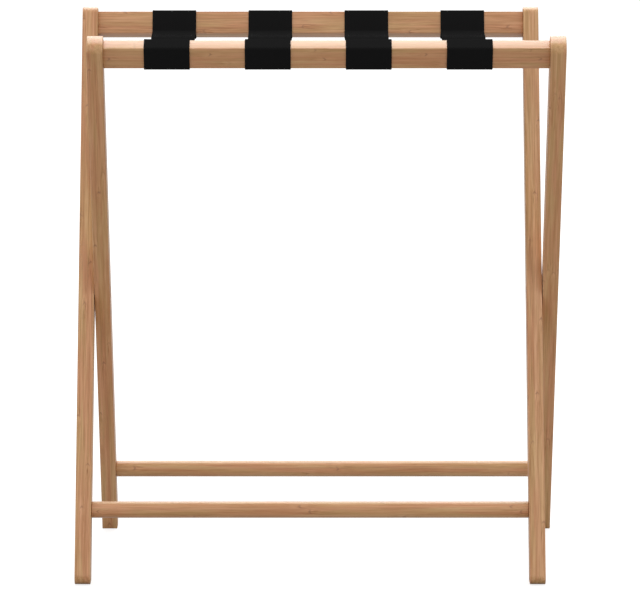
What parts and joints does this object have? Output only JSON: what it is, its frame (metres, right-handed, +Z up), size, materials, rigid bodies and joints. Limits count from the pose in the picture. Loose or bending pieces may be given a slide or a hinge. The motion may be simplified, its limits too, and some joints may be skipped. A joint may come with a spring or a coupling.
{
  "type": "folding luggage rack",
  "caption": "Folding luggage rack: two crossed bamboo frames on side pivots, joined at the top by black webbing straps sewn round the rails.",
  "frame": {"origin": "on the floor, under the middle of the open rack", "axes": "+Z up; X along the rails; the front is -Y, and the front frame's top rail is on that side"},
  "size_m": [0.54, 0.3172, 0.6098],
  "materials": {
    "bamboo": "satin lacquer",
    "dowel_pin": "bare",
    "webbing": "woven",
    "steel": "zinc plated",
    "nylon": "matte"
  },
  "bodies": {
    "front_frame": {"front_frame_right_leg": "bamboo", "front_frame_left_leg": "bamboo", "front_frame_top_rail": "bamboo", "front_frame_stretcher": "bamboo", "front_frame_right_lower_pin": "dowel_pin", "front_frame_right_upper_pin": "dowel_pin", "front_frame_left_lower_pin": "dowel_pin", "front_frame_left_upper_pin": "dowel_pin", "right_pivot_sleeve_nut": "steel", "right_pivot_bolt": "steel", "right_pivot_washer": "nylon", "strap_1": "webbing", "strap_2": "webbing", "strap_3": "webbing", "strap_4": "webbing"},
    "rear_frame": {"rear_frame_left_leg": "bamboo", "rear_frame_right_leg": "bamboo", "rear_frame_top_rail": "bamboo", "rear_frame_stretcher": "bamboo", "rear_frame_left_lower_pin": "dowel_pin", "rear_frame_left_upper_pin": "dowel_pin", "rear_frame_right_lower_pin": "dowel_pin", "rear_frame_right_upper_pin": "dowel_pin", "left_pivot_sleeve_nut": "steel", "left_pivot_bolt": "steel", "left_pivot_washer": "nylon"}
  },
  "joints": [
    {"name": "fold", "type": "hinge", "parent": "front_frame", "child": "rear_frame", "pos_m": [0, 0, 0.3021], "axis": [1, 0, 0], "range_deg": [0, 46.2], "deforming": ["strap_1", "strap_2", "strap_3", "strap_4"]}
  ]
}
